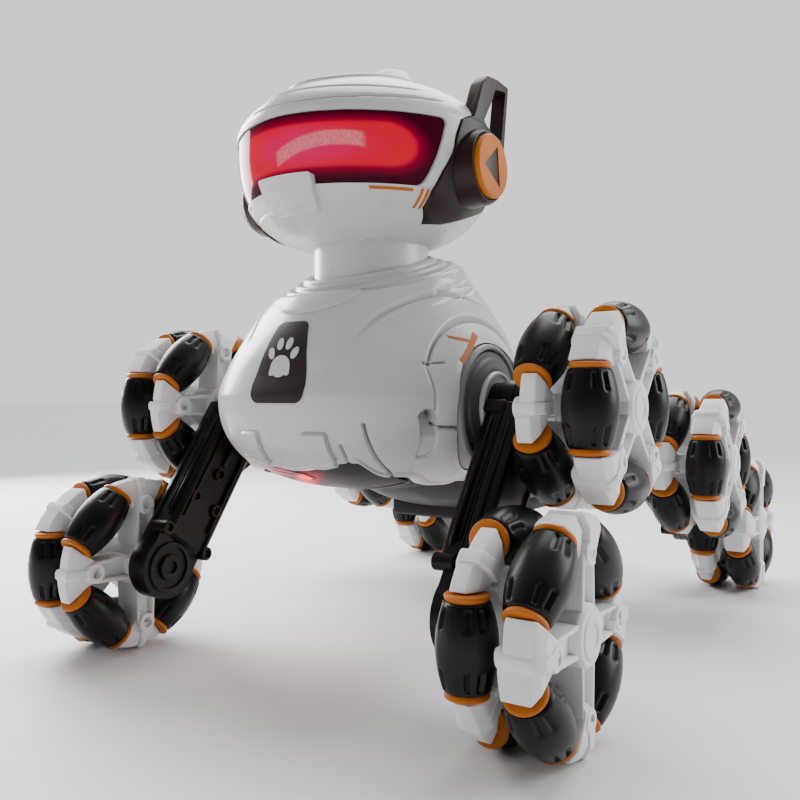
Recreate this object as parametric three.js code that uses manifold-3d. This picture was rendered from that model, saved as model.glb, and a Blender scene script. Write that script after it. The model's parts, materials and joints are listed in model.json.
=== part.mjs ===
// Robot dog toy: a rounded torso, a head that turns on its neck, and four swinging arms with two omnidirectional
// wheels each, one on the hip and one at the arm's lower end.
// Millimetres, +Z up, nose towards -Y, the dog's left side at +X. The origin is on the floor, under the middle.

import * as THREE from 'three';
import { mergeVertices } from 'three/addons/utils/BufferGeometryUtils.js';
import Module from 'manifold-3d';

const wasm = await Module();
wasm.setup();

// ---- driving dimensions ----

const WHEEL_RADIUS = 36;
const ROLLER_RADIUS = 9;
const ROLLER_LENGTH = 29;
const ROLLER_END_RADIUS = 5.9;
const ROLLER_FLAT = 10;
const ROLLERS_PER_ROW = 4;
const ROW_PITCH = 18.6;
const WHEEL_PLANE = 96.7;
const BRACKET_RADIUS = 35;
const BRACKET_WIDTH = 14;
const SPOKE_WIDTH = 7;
const AXLE_RADIUS = 3.5;
const HUB_RADIUS = 8;

const ARM_LENGTH = 79.7;
const ARM_INNER = 62.5;
const ARM_OUTER = 77.5;
const ARM_HIP_RADIUS = 10;
const ARM_SHOULDER = 5;
const ARM_HALF_WIDTH = 12.2;
const ARM_END_RADIUS = 13;
const ARM_END_INNER = 66.5;
const ARM_STEP = 68;
const AXLE_TIP = 70;
const FRONT_ARM_DROP = THREE.MathUtils.degToRad(55.5);
const REAR_ARM_DROP = THREE.MathUtils.degToRad(28.1);
const WHEELBASE = 262.2;

const CHEST = { y: -82.8, z: 106.2, wide: 61.3, deep: 58.8, up: 73.8, down: 38.7, lean: 0.18 };
const BACK = { y: 8, z: 86, wide: 53, deep: 84, up: 36, down: 35, lean: 0 };
const HEAD = { y: -86.1, z: 206.6, wide: 53.6, deep: 53.7, up: 26.3, down: 41.9, lean: 0 };
const CHEST_ROUNDING = { plan: 0.93, upper: 1.37, lower: 0.84 };
const BACK_ROUNDING = { plan: 0.8, upper: 1, lower: 0.9 };
const HEAD_ROUNDING = { plan: 1.1, upper: 1.24, lower: 0.68 };
const HAUNCH_RADIUS = 27;
const WALL = 2.2;
const GAP = 0.35;

const NECK_Y = -82;
const NECK_RADIUS = 23.5;
const COLLAR_TILT = THREE.MathUtils.degToRad(17.5);
const COLLAR_Z = 154;
const PARTING_Z = 79;
const PARTING_TILT = THREE.MathUtils.degToRad(-7.4);
const HIP_DISC_RADIUS = 23.4;
const TRUNNION_RADIUS = 9;

const VISOR_BOTTOM = 181;
const VISOR_TOP = 205.5;
const VISOR_BACK = -103.5;
const EAR_INNER = 46;
const EAR_OUTER = 57;
const EAR_DRUM = { y: -86.5, z: 191, radius: 14.5 };
const EAR_DISC_RADIUS = 11.8;
const EAR_LOOP_INNER = 47.5;
const EAR_LOOP_OUTER = 53.5;

// A hip stands as high as its arm needs for the lower wheel to touch the floor.
const FRONT_HIP = {
  y: -WHEELBASE / 2 + ARM_LENGTH * Math.cos(FRONT_ARM_DROP),
  z: WHEEL_RADIUS + ARM_LENGTH * Math.sin(FRONT_ARM_DROP),
};
const REAR_HIP = {
  y: WHEELBASE / 2 - ARM_LENGTH * Math.cos(REAR_ARM_DROP),
  z: WHEEL_RADIUS + ARM_LENGTH * Math.sin(REAR_ARM_DROP),
};

// ---- materials ----

function finish(color, roughness, metalness = 0, extra = {}) {
  return new THREE.MeshStandardMaterial({ color, roughness, metalness, ...extra });
}

const WHITE = finish(0xdcdad8, 0.38);
const FRAME_WHITE = finish(0xd2d2d0, 0.45);
const GREY = finish(0x77777a, 0.5);
const DARK = finish(0x3a3a3c, 0.5);
const BLACK = finish(0x141416, 0.3);
const ROLLER_BLACK = finish(0x1b1b1d, 0.42);
const BROWN = finish(0x33292a, 0.45);
const ORANGE = finish(0xd0801f, 0.45);
const VISOR_RED = finish(0x5c0a1c, 0.08);
const LIGHT_RED = finish(0xff2f52, 0.4, 0, { emissive: 0xff2045 });
const BOARD_GREEN = finish(0x1f5a38, 0.55);
const STEEL = finish(0xa8a8aa, 0.3, 1);

// ---- solids: closed meshes that can be joined and cut ----

function solidOf(geometry) {
  const bare = geometry.clone();
  bare.deleteAttribute('normal');
  bare.deleteAttribute('uv');
  const merged = mergeVertices(bare);
  return new wasm.Manifold(new wasm.Mesh({
    numProp: 3,
    vertProperties: merged.attributes.position.array,
    triVerts: merged.index.array,
  }));
}

function geometryOf(solid) {
  const { vertProperties, triVerts } = solid.getMesh();
  const geometry = new THREE.BufferGeometry();
  geometry.setAttribute('position', new THREE.BufferAttribute(vertProperties, 3));
  geometry.setIndex(new THREE.BufferAttribute(triVerts, 1));
  geometry.computeVertexNormals();
  return geometry;
}

function join(...solids) {
  return solids.reduce((whole, next) => whole.add(next));
}

function cut(solid, ...tools) {
  return tools.reduce((left, tool) => left.subtract(tool), solid);
}

function box([x0, y0, z0], [x1, y1, z1]) {
  const geometry = new THREE.BoxGeometry(x1 - x0, y1 - y0, z1 - z0);
  geometry.translate((x0 + x1) / 2, (y0 + y1) / 2, (z0 + z1) / 2);
  return solidOf(geometry);
}

// A round bar along X from x0 to x1.
function barX(radius, x0, x1, y = 0, z = 0, sides = 20) {
  const geometry = new THREE.CylinderGeometry(radius, radius, Math.abs(x1 - x0), sides);
  geometry.rotateZ(Math.PI / 2);
  geometry.translate((x0 + x1) / 2, y, z);
  return solidOf(geometry);
}

// A round bar along Z from z0 to z1.
function barZ(radius, z0, z1, x = 0, y = 0, sides = 20) {
  const geometry = new THREE.CylinderGeometry(radius, radius, z1 - z0, sides);
  geometry.rotateX(Math.PI / 2);
  geometry.translate(x, y, (z0 + z1) / 2);
  return solidOf(geometry);
}

// A closed profile of [radius, height] points turned about Z.
function turned(profile, sides = 24) {
  const points = profile.map(([radius, height]) => new THREE.Vector2(radius, height));
  const geometry = new THREE.LatheGeometry(points, sides);
  geometry.rotateX(Math.PI / 2);
  return geometry;
}

// An outline in (y, z), given thickness along X from x0 to x1.
function slab(outline, x0, x1, curveSegments = 8) {
  const depth = Math.abs(x1 - x0);
  const geometry = new THREE.ExtrudeGeometry(outline, { depth, bevelEnabled: false, curveSegments });
  geometry.applyMatrix4(new THREE.Matrix4().set(0, 0, 1, Math.min(x0, x1), 1, 0, 0, 0, 0, 1, 0, 0, 0, 0, 0, 1));
  return solidOf(geometry);
}

// An outline in (x, z), given thickness along Y from y0 to y1.
function frontSlab(outline, y0, y1) {
  const geometry = new THREE.ExtrudeGeometry(outline, { depth: y1 - y0, bevelEnabled: false });
  geometry.applyMatrix4(new THREE.Matrix4().set(1, 0, 0, 0, 0, 0, -1, y1, 0, 1, 0, 0, 0, 0, 0, 1));
  return solidOf(geometry);
}

function polygon(...points) {
  return new THREE.Shape(points.map(([across, up]) => new THREE.Vector2(across, up)));
}

// An egg: a sphere stretched to its half sizes, with its own roundness in plan, above and below.
function egg(size, rounding, grow = 0, columns = 24, rows = 12) {
  const geometry = new THREE.SphereGeometry(1, columns, rows);
  geometry.rotateX(Math.PI / 2);
  const place = geometry.attributes.position;
  const power = (value, exponent) => Math.sign(value) * Math.abs(value) ** exponent;
  for (let i = 0; i < place.count; i++) {
    const level = THREE.MathUtils.clamp(place.getZ(i), -1, 1);
    const turn = Math.atan2(place.getY(i), place.getX(i));
    const above = level > 0;
    const spread = Math.sqrt(Math.max(0, 1 - level * level)) ** (above ? rounding.upper : rounding.lower);
    const height = (above ? size.up + grow : size.down + grow)
      * power(level, above ? rounding.upper : rounding.lower);
    const x = (size.wide + grow) * spread * power(Math.cos(turn), rounding.plan);
    const y = (size.deep + grow) * spread * power(Math.sin(turn), rounding.plan);
    place.setXYZ(i, x, size.y + y + size.lean * Math.max(0, height), size.z + height);
  }
  return solidOf(geometry);
}

// ---- the object and its groups ----

const dog = new THREE.Group();

function addPart(name, solid, material, parent = dog) {
  const mesh = new THREE.Mesh(geometryOf(solid), material);
  mesh.name = name;
  parent.add(mesh);
}

// ---- torso ----

function haunch(grow, sides) {
  const radius = HAUNCH_RADIUS + grow;
  const half = 57.5 + grow;
  const geometry = turned([[0, -half], [radius - 5, -half], [radius, 9 - half], [radius, half - 9],
    [radius - 5, half], [0, half]], sides);
  geometry.rotateY(Math.PI / 2);
  geometry.translate(0, REAR_HIP.y, REAR_HIP.z);
  return solidOf(geometry);
}

function torso(grow, columns = 28, rows = 12) {
  const flank = CHEST.wide + grow;
  const back = egg(BACK, BACK_ROUNDING, grow, columns - 8, rows - 4);
  return join(egg(CHEST, CHEST_ROUNDING, grow, columns, rows), back, haunch(grow, columns - 4))
    .intersect(box([-flank, -200, 0], [flank, 200, 300]))
    .intersect(underNeck(grow));
}

// Everything below the slanting plane that the collar's rings are stacked on.
function underNeck(rise) {
  const geometry = new THREE.BoxGeometry(200, 600, 200);
  geometry.translate(0, 0, rise - 100);
  geometry.rotateX(COLLAR_TILT);
  geometry.translate(0, NECK_Y, COLLAR_Z);
  return solidOf(geometry);
}

// Stepped rings round the foot of the neck, tilted down towards the chest.
function collar() {
  const geometry = turned([[0, -12], [39, -12], [37, 0], [34, 0], [34, 2], [30.5, 2], [30.5, 4], [27.2, 4],
    [27.2, 5.2], [0, 5.2]]);
  geometry.rotateX(COLLAR_TILT);
  geometry.translate(0, NECK_Y, COLLAR_Z);
  return solidOf(geometry);
}

// Everything under the line where the white shell meets the belly pan.
function underParting(drop) {
  const geometry = new THREE.BoxGeometry(200, 600, 200);
  geometry.translate(0, 0, -100);
  geometry.rotateX(PARTING_TILT);
  geometry.translate(0, FRONT_HIP.y, PARTING_Z - drop);
  return solidOf(geometry);
}

function hipHoles() {
  const reach = HIP_DISC_RADIUS + GAP;
  return [FRONT_HIP, REAR_HIP].flatMap(({ y, z }) => [-1, 1].map((side) => barX(reach, side * 44.5, side * 70, y, z)));
}

// The chest light sits a little to the dog's right.
const LIGHT = { right: -25, left: 2, bottom: 74, top: 79.5 };

function lightSlot(grow) {
  return box([LIGHT.right - grow, -180, LIGHT.bottom - grow], [LIGHT.left + grow, -105, LIGHT.top + grow]);
}

const DOOR = { x: 23, back: -24, front: 40, bottom: 48.6, top: 51.2 };
const SWITCH = { x: 3.6, y: 2.8, slotX: 4.4, slotY: 5 };

function buildTorso() {
  const hollow = torso(-WALL, 16, 8);
  const skin = cut(torso(0), hollow);
  const neckHole = barZ(NECK_RADIUS + 0.6, 120, 190, 0, NECK_Y);
  const shell = cut(join(skin, cut(collar(), hollow)), underParting(0), neckHole, ...hipHoles());
  addPart('body_shell', shell, WHITE);

  const doorHole = box([-DOOR.x - GAP, DOOR.back - GAP, 30], [DOOR.x + GAP, DOOR.front + GAP, 70]);
  const switchHole = box([-SWITCH.slotX, REAR_HIP.y - SWITCH.slotY, 30],
    [SWITCH.slotX, REAR_HIP.y + SWITCH.slotY, 60]);
  const pan = cut(skin.intersect(underParting(GAP)), lightSlot(GAP), doorHole, switchHole, ...hipHoles());
  addPart('belly_pan', pan, DARK);

  const lens = skin.intersect(lightSlot(0));
  addPart('chest_light_lens', lens, LIGHT_RED);

  const badge = polygon([-4.5, 133], [-12, 105.5], [-10, 103.2], [10, 103.2], [12, 105.5], [4.5, 133]);
  const plate = cut(torso(1.5).intersect(frontSlab(badge, -180, -110)), torso(GAP));
  addPart('chest_badge', plate, BROWN);

  const door = box([-DOOR.x, DOOR.back, DOOR.bottom], [DOOR.x, DOOR.front, DOOR.top]);
  const screwHole = barZ(2.6, 40, 60, 0, DOOR.front - 6, 12);
  addPart('battery_door', cut(door, screwHole), DARK);
  const screw = join(barZ(2.2, DOOR.bottom - 0.6, DOOR.top, 0, DOOR.front - 6, 12),
    barZ(1.3, DOOR.top - 1, DOOR.top + 6, 0, DOOR.front - 6, 8));
  addPart('battery_door_screw', screw, STEEL);

  const knob = box([-SWITCH.x, REAR_HIP.y - SWITCH.y, 45.6], [SWITCH.x, REAR_HIP.y + SWITCH.y, 50]);
  addPart('power_switch', knob, BLACK);
}

function buildHipDiscs() {
  for (const [end, { y, z }] of [['front', FRONT_HIP], ['rear', REAR_HIP]]) {
    for (const [hand, side] of [['left', 1], ['right', -1]]) {
      const plate = barX(HIP_DISC_RADIUS, side * 45, side * 60, y, z);
      const step = barX(15, side * 59, side * 61.6, y, z, 16);
      const disc = cut(join(plate, step), barX(TRUNNION_RADIUS + GAP, side * 54, side * 70, y, z, 12));
      addPart(`hip_disc_${end}_${hand}`, disc, GREY);
    }
  }
}

function buildInside() {
  const { y: frontY, z: frontZ } = FRONT_HIP;
  const { y: rearY, z: rearZ } = REAR_HIP;
  addPart('front_gearbox', box([-44, frontY - 17, frontZ - 15], [44, frontY + 17, frontZ + 15]), BLACK);
  addPart('rear_gearbox', box([-44, rearY - 13, rearZ - 13], [44, rearY + 17, rearZ + 15]), BLACK);
  addPart('battery_pack', box([-20, -20, 56], [20, 26, 78]), BLACK);
  addPart('main_board', box([-32, -52, 92], [32, 34, 93.6]), BOARD_GREEN);
  addPart('speaker', barZ(17, 73, 84, 0, -84), BLACK);
}

// ---- neck and head ----

function skull(grow, columns = 24, rows = 12) {
  return egg(HEAD, HEAD_ROUNDING, grow, columns, rows);
}

function crest() {
  const ridge = polygon([-98, 228], [-76, 243], [-63, 246], [-50, 238], [-42, 222], [-52, 210], [-92, 210]);
  return slab(ridge, -8, 8);
}

// The visor wraps round the brow, and its ends slant back towards the top.
function visorWindow(grow) {
  const side = polygon([-200, VISOR_BOTTOM - grow], [VISOR_BACK - 5 + grow, VISOR_BOTTOM - grow],
    [VISOR_BACK + grow, VISOR_TOP + grow], [-200, VISOR_TOP + grow]);
  return slab(side, -80, 80);
}

const NOSE = polygon([-13, 185], [-12.5, 175], [-11, 173.5], [11, 173.5], [12.5, 175], [13, 185]);

const EAR_PLATE = polygon([-92, 209], [-98.2, 206], [-100.4, 200], [-101.2, 194], [-104, 186.5], [-105, 180.3],
  [-98, 170.5], [-90, 171.3], [-83, 173.6], [-68, 179], [-69, 205]);
const EAR_LOOP = polygon([-92, 200], [-91.8, 208.2], [-84.8, 223.7], [-79.9, 228.1], [-71.6, 229], [-62.5, 228.4],
  [-66.4, 202], [-73, 193]);
const EAR_LOOP_HOLE = polygon([-83.6, 209.6], [-76.4, 220], [-74.6, 224], [-65.8, 225.6], [-69.3, 205.5],
  [-79.5, 206.8]);

// An ear pod without the hole in its loop: a plate that follows the skull a little proud of it, a loop and a drum.
// Grown a little, it is the pocket that the head leaves for it.
function earSolid(side, grow = 0) {
  const spread = 1 + grow / 15;
  const sheet = cut(skull(1 + grow), skull(-WALL - 0.8 - 4 * grow));
  const whole = join(
    sheet.intersect(slab(EAR_PLATE, side * 20, side * 80)),
    slab(EAR_LOOP, side * (EAR_LOOP_INNER - grow), side * (EAR_LOOP_OUTER + grow)),
    barX(EAR_DRUM.radius, side * (EAR_INNER - grow), side * (EAR_OUTER + grow), EAR_DRUM.y, EAR_DRUM.z),
  );
  const centred = whole.translate([0, -EAR_DRUM.y, -EAR_DRUM.z]).scale([1, spread, spread]);
  return centred.translate([0, EAR_DRUM.y, EAR_DRUM.z]);
}

function buildHead() {
  const outer = skull(0);
  const inner = skull(-WALL, 16, 8);
  const skin = cut(outer, inner);
  const pockets = [earSolid(1, 0.6), earSolid(-1, 0.6)];
  const above = box([-90, -200, VISOR_BOTTOM], [90, 0, 300]);
  const below = box([-90, -200, 100], [90, 0, VISOR_BOTTOM - GAP]);

  const helmet = join(skin, cut(crest(), inner)).intersect(above);
  addPart('head_shell', cut(helmet, visorWindow(0), ...pockets), WHITE);

  const neckHole = barZ(NECK_RADIUS + GAP, 150, 174, 0, NECK_Y);
  addPart('jaw_shell', cut(skin.intersect(below), neckHole, ...pockets), WHITE);

  const lens = skin.intersect(visorWindow(-GAP));
  addPart('visor_lens', cut(lens, ...pockets), VISOR_RED);

  const plate = cut(skull(1.6).intersect(frontSlab(NOSE, -180, -110)), skull(GAP));
  addPart('nose_plate', plate, FRAME_WHITE);

  const glow = box([-40, -200, 186], [40, -92, 205]);
  addPart('light_panel', cut(skull(-5, 16, 8), skull(-7, 16, 8)).intersect(glow), LIGHT_RED);

  const post = cut(barZ(NECK_RADIUS, 138, 173, 0, NECK_Y), barZ(NECK_RADIUS - 4, 141, 180, 0, NECK_Y, 16));
  addPart('neck_post', post, WHITE);
  const bearing = cut(barZ(NECK_RADIUS + 1.5, 133, 137.6, 0, NECK_Y), barZ(8, 120, 150, 0, NECK_Y, 16));
  addPart('neck_bearing', bearing, GREY);
}

function buildEars() {
  for (const [hand, side] of [['left', 1], ['right', -1]]) {
    addPart(`ear_${hand}`, cut(earSolid(side), slab(EAR_LOOP_HOLE, side * 45, side * 70)), BROWN);
    const face = side * (EAR_OUTER + GAP);
    addPart(`ear_disc_${hand}`, barX(EAR_DISC_RADIUS, face, face + side * 1.8, EAR_DRUM.y, EAR_DRUM.z), ORANGE);
  }
}

// ---- arms ----

// The arm lies along +Y from the hip at the origin: a round hip, square shoulders, straight sides and a round end.
function armOutline(inset = 0) {
  const hip = ARM_HIP_RADIUS - inset;
  const half = ARM_HALF_WIDTH - inset;
  const end = ARM_END_RADIUS - inset;
  const shoulder = ARM_SHOULDER + inset;
  const hipTurn = Math.acos(shoulder / hip);
  const endTurn = Math.PI - Math.asin(half / end);
  const outline = new THREE.Shape();
  outline.absarc(0, 0, hip, hipTurn, Math.PI * 2 - hipTurn, false);
  outline.lineTo(shoulder, -half);
  outline.absarc(ARM_LENGTH, 0, end, -endTurn, endTurn, false);
  outline.lineTo(shoulder, half);
  return outline;
}

function buildArm(end, hand, group, side) {
  const seam = 70.4;
  const seat = AXLE_RADIUS + GAP;
  const bores = [0, ARM_LENGTH].map((along) => barX(seat, side * (AXLE_TIP - 0.5), side * 90, along, 0, 8));
  const gearSpace = slab(polygon([17, -8], [60, -9], [60, 9], [17, 8]), side * 65, side * (seam + 1));
  const beyond = polygon([ARM_STEP, -20], [ARM_LENGTH + 20, -20], [ARM_LENGTH + 20, 20], [ARM_STEP, 20]);
  const step = slab(beyond, side * (ARM_INNER - 1), side * ARM_END_INNER);
  const trunnion = barX(TRUNNION_RADIUS, side * 58.3, side * (ARM_INNER + 1), 0, 0, 12);
  const housing = join(slab(armOutline(), side * ARM_INNER, side * seam), trunnion);
  addPart(`arm_housing_${end}_${hand}`, cut(housing, gearSpace, step, ...bores), BLACK, group);
  const cover = slab(armOutline(0.8), side * (seam + GAP), side * ARM_OUTER);
  addPart(`arm_cover_${end}_${hand}`, cut(cover, ...bores), BLACK, group);
}

// ---- wheels: the axle lies on X through the group's origin ----

function roller() {
  const half = ROLLER_LENGTH / 2;
  const flat = ROLLER_FLAT / 2;
  return turned([[0, -half], [ROLLER_END_RADIUS, -half], [ROLLER_RADIUS, -flat], [ROLLER_RADIUS, flat],
    [ROLLER_END_RADIUS, half], [0, half]], 8);
}

const ROLLER_RING_RADIUS = WHEEL_RADIUS - ROLLER_RADIUS;
const QUARTER = Math.PI / 2;

// Four rollers, joined by the pins that they turn on. The first faces -Y, before the row's own turn.
function rollerRing(x, turn) {
  const pinRadius = (ROLLER_RING_RADIUS + ROLLER_LENGTH / 2) / Math.SQRT2;
  const pieces = [];
  for (let i = 0; i < ROLLERS_PER_ROW; i++) {
    const barrel = roller();
    barrel.translate(0, -ROLLER_RING_RADIUS, 0);
    barrel.rotateX(turn + i * QUARTER);
    barrel.translate(x, 0, 0);
    const pin = new THREE.BoxGeometry(2.8, 2.8, 19.6);
    pin.translate(0, -pinRadius, 0);
    pin.rotateX(turn + (i + 0.5) * QUARTER);
    pin.translate(x, 0, 0);
    pieces.push(solidOf(barrel), solidOf(pin));
  }
  return join(...pieces);
}

// One row of the frame: four spokes, each ending in a bracket that fills the corner between two rollers.
function frameRow(x, turn) {
  const near = ROLLER_LENGTH / 2 + 0.8;
  const edge = Math.asin(near / BRACKET_RADIUS);
  const pinRadius = (ROLLER_RING_RADIUS + ROLLER_LENGTH / 2) / Math.SQRT2;
  const halfSpoke = SPOKE_WIDTH / Math.SQRT2;
  const corners = [
    [halfSpoke, 0],
    [near + halfSpoke, near],
    [BRACKET_RADIUS * Math.cos(edge), near],
    [BRACKET_RADIUS * Math.cos(QUARTER / 2), BRACKET_RADIUS * Math.sin(QUARTER / 2)],
    [near, BRACKET_RADIUS * Math.cos(edge)],
    [near, near + halfSpoke],
  ];
  const outline = [];
  const pinHoles = [];
  for (let i = 0; i < ROLLERS_PER_ROW; i++) {
    const cos = Math.cos(i * QUARTER);
    const sin = Math.sin(i * QUARTER);
    outline.push(...corners.map(([y, z]) => [y * cos - z * sin, y * sin + z * cos]));
    const pinHole = new THREE.BoxGeometry(3.6, 3.6, 30);
    pinHole.translate(x, pinRadius, 0);
    pinHole.rotateX((i + 0.5) * QUARTER);
    pinHoles.push(solidOf(pinHole));
  }
  const star = slab(polygon(...outline), x - BRACKET_WIDTH / 2, x + BRACKET_WIDTH / 2);
  return cut(star, ...pinHoles).rotate([THREE.MathUtils.radToDeg(turn), 0, 0]);
}

function buildWheel(place, group, side, outerTurn) {
  const outerX = side * ROW_PITCH / 2;
  const innerTurn = QUARTER / 2 - outerTurn;
  const hub = barX(HUB_RADIUS, side * -17.6, side * 17.6, 0, 0, 8);
  const axle = barX(AXLE_RADIUS, side * (AXLE_TIP - WHEEL_PLANE), side * -17, 0, 0, 6);
  const frame = join(hub, axle, frameRow(outerX, outerTurn), frameRow(-outerX, innerTurn));
  addPart(`wheel_frame_${place}`, frame, FRAME_WHITE, group);
  addPart(`outer_rollers_${place}`, rollerRing(outerX, outerTurn), ROLLER_BLACK, group);
  addPart(`inner_rollers_${place}`, rollerRing(-outerX, innerTurn), ROLLER_BLACK, group);
}

function buildLimb(end, hand) {
  const side = hand === 'left' ? 1 : -1;
  const front = end === 'front';
  const hip = front ? FRONT_HIP : REAR_HIP;
  const drop = front ? FRONT_ARM_DROP : REAR_ARM_DROP;
  const forward = front ? -1 : 1;

  const arm = new THREE.Group();
  arm.position.set(0, hip.y, hip.z);
  arm.rotation.x = front ? Math.PI + drop : -drop;
  dog.add(arm);
  buildArm(end, hand, arm, side);

  const upper = new THREE.Group();
  upper.position.set(side * WHEEL_PLANE, hip.y, hip.z);
  dog.add(upper);
  const upperTurn = 0;
  buildWheel(`${end}_${hand}_upper`, upper, side, upperTurn);

  const lower = new THREE.Group();
  const reach = ARM_LENGTH * Math.cos(drop);
  lower.position.set(side * WHEEL_PLANE, hip.y + forward * reach, WHEEL_RADIUS);
  dog.add(lower);
  const lowerTurn = hand === 'left' ? QUARTER / 2 : 0;
  buildWheel(`${end}_${hand}_lower`, lower, side, lowerTurn);
}

buildTorso();
buildHipDiscs();
buildInside();
buildHead();
buildEars();
for (const end of ['front', 'rear']) {
  for (const hand of ['left', 'right']) {
    buildLimb(end, hand);
  }
}

export default dog;
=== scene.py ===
import json
import math
from collections import namedtuple

import bpy
import numpy as np
from mathutils import Matrix, Vector


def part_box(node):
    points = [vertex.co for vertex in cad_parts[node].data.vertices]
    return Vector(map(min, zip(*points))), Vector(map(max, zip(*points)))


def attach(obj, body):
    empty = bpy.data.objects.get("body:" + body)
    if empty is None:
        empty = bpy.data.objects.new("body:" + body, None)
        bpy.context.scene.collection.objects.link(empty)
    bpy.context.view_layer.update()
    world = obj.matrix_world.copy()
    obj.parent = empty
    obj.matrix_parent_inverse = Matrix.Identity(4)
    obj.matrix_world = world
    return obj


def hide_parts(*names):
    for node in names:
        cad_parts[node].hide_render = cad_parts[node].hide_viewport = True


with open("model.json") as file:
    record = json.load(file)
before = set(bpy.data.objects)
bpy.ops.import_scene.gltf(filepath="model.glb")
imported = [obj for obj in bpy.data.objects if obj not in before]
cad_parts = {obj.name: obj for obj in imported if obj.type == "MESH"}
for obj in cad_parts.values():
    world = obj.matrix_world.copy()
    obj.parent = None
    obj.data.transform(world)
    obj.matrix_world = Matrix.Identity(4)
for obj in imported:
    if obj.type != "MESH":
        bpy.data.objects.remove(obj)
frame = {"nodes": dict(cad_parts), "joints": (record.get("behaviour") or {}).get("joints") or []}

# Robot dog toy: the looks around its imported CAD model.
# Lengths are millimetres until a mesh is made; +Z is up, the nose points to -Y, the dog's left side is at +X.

MM = 0.001
HANDS = {"left": 1, "right": -1}
LIMBS = [(end, hand, side) for end in ("front", "rear") for hand, side in HANDS.items()]


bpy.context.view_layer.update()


def joint_place(name):
    joint = next(j for j in frame["joints"] if j["name"] == name)
    return Vector(joint["pos_m"]) / MM


def node_box(name):
    low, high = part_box(name)
    return low / MM, high / MM


# ---- driving sizes ----

WHEEL_RADIUS = 36
ROLLER_RADIUS = 9
ROLLER_LENGTH = 29
ROW_OFFSET = 9.3
BRACKET_RADIUS = 35
RING_RADIUS = WHEEL_RADIUS - ROLLER_RADIUS
STEP_OFFSET = 0.8
HIP_DISC_RADIUS = 23.4
NECK_RADIUS = 23.5
COLLAR_TILT = math.radians(17.5)
COLLAR_HEIGHT = 154
ARM_SHOULDER = 5
PARTING_GAP = 0.5

FRONT_HIP = joint_place("front_left_arm_swing")
REAR_HIP = joint_place("rear_left_arm_swing")
NECK = joint_place("head_turn")


# ---- number helpers ----

def rise(value, low, high):
    """0 below low, 1 above high, and a smooth step between them."""
    t = np.clip((value - low) / (high - low), 0, 1)
    return t * t * (3 - 2 * t)


def between(value, low, high, soft=0.8):
    """1 from low to high, fading to 0 over soft outside them."""
    return rise(value, low - soft, low) * (1 - rise(value, high, high + soft))


def groove(distance, half_width, depth):
    """A round-bottomed channel along distance 0."""
    share = np.clip(np.abs(distance) / half_width, 0, 1)
    return -depth * (1 - share ** 2) ** 2


def power(value, exponent):
    return np.sign(value) * np.abs(value) ** exponent


# ---- meshes ----

def mesh_object(name, points, faces):
    """An object from points in millimetres, in the row frame."""
    mesh = bpy.data.meshes.new(name)
    mesh.from_pydata(np.asarray(points, float) * MM, [], faces)
    mesh.validate()
    mesh.update()
    piece = bpy.data.objects.new(name, mesh)
    bpy.context.scene.collection.objects.link(piece)
    return piece


def grid_faces(rows, columns):
    """Quads between neighbouring rings of points, each ring closed."""
    faces = []
    for row in range(rows - 1):
        for column in range(columns):
            ahead = (column + 1) % columns
            a = row * columns
            b = a + columns
            faces.append((a + column, a + ahead, b + ahead, b + column))
    return faces


def loft(name, rings):
    """A closed solid through rings of points, each ring turning the same way, with flat ends."""
    rings = np.asarray(rings, float)
    rows, columns = rings.shape[:2]
    faces = grid_faces(rows, columns)
    faces.append(tuple(reversed(range(columns))))
    faces.append(tuple(range((rows - 1) * columns, rows * columns)))
    return mesh_object(name, rings.reshape(-1, 3), faces)


def placed(piece, matrix):
    """Moves the piece's mesh by a matrix in millimetres."""
    scale = Matrix.Scale(MM, 4)
    piece.data.transform(scale @ matrix @ scale.inverted())
    if matrix.determinant() < 0:
        piece.data.flip_normals()
    return piece


def shift(x, y, z):
    return Matrix.Translation((x, y, z))


def turn(degrees, axis):
    return Matrix.Rotation(math.radians(degrees), 4, axis)


def mirror_for(side):
    """Leaves the dog's left side (1) as it is and mirrors it to the right (-1)."""
    return Matrix.Identity(4) if side > 0 else Matrix.Scale(-1, 4, (1, 0, 0))


def circle(radius, sides):
    angles = np.arange(sides) * 2 * math.pi / sides
    return np.stack([radius * np.cos(angles), radius * np.sin(angles)], 1)


def lathe(name, profile, sides=64):
    """A solid turned about X from (x, radius) points, in order along its surface."""
    ring = circle(1, sides)
    rings = [np.column_stack([np.full(sides, x), ring * max(radius, 0.001)]) for x, radius in profile]
    return loft(name, rings)


def softened(profile, radius=0.6, steps=4):
    """The same (x, radius) line with each inner corner rounded."""
    points = [np.array(p, float) for p in profile]
    rounded = [points[0]]
    for before, corner, after in zip(points, points[1:], points[2:]):
        back, ahead = before - corner, after - corner
        reach = min(radius, 0.45 * np.linalg.norm(back), 0.45 * np.linalg.norm(ahead))
        first = corner + back / np.linalg.norm(back) * reach
        last = corner + ahead / np.linalg.norm(ahead) * reach
        for i in range(steps + 1):
            t = i / steps
            rounded.append((1 - t) ** 2 * first + 2 * t * (1 - t) * corner + t * t * last)
    rounded.append(points[-1])
    return [tuple(p) for p in rounded]


def prism(name, outline, low, high, axis="x"):
    """An outline given thickness: in (y, z) along X, in (x, z) along Y, or in (x, y) along Z."""
    across, up = np.asarray(outline, float).T
    if np.sum(across * np.roll(up, -1) - np.roll(across, -1) * up) < 0:
        across, up = across[::-1], up[::-1]
    rings = []
    for at in (low, high):
        level = np.full(len(across), float(at))
        columns = {"x": (level, across, up), "y": (across, level, up), "z": (across, up, level)}
        rings.append(np.stack(columns[axis], 1))
    if axis == "y":
        rings.reverse()
    return loft(name, rings)


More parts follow.
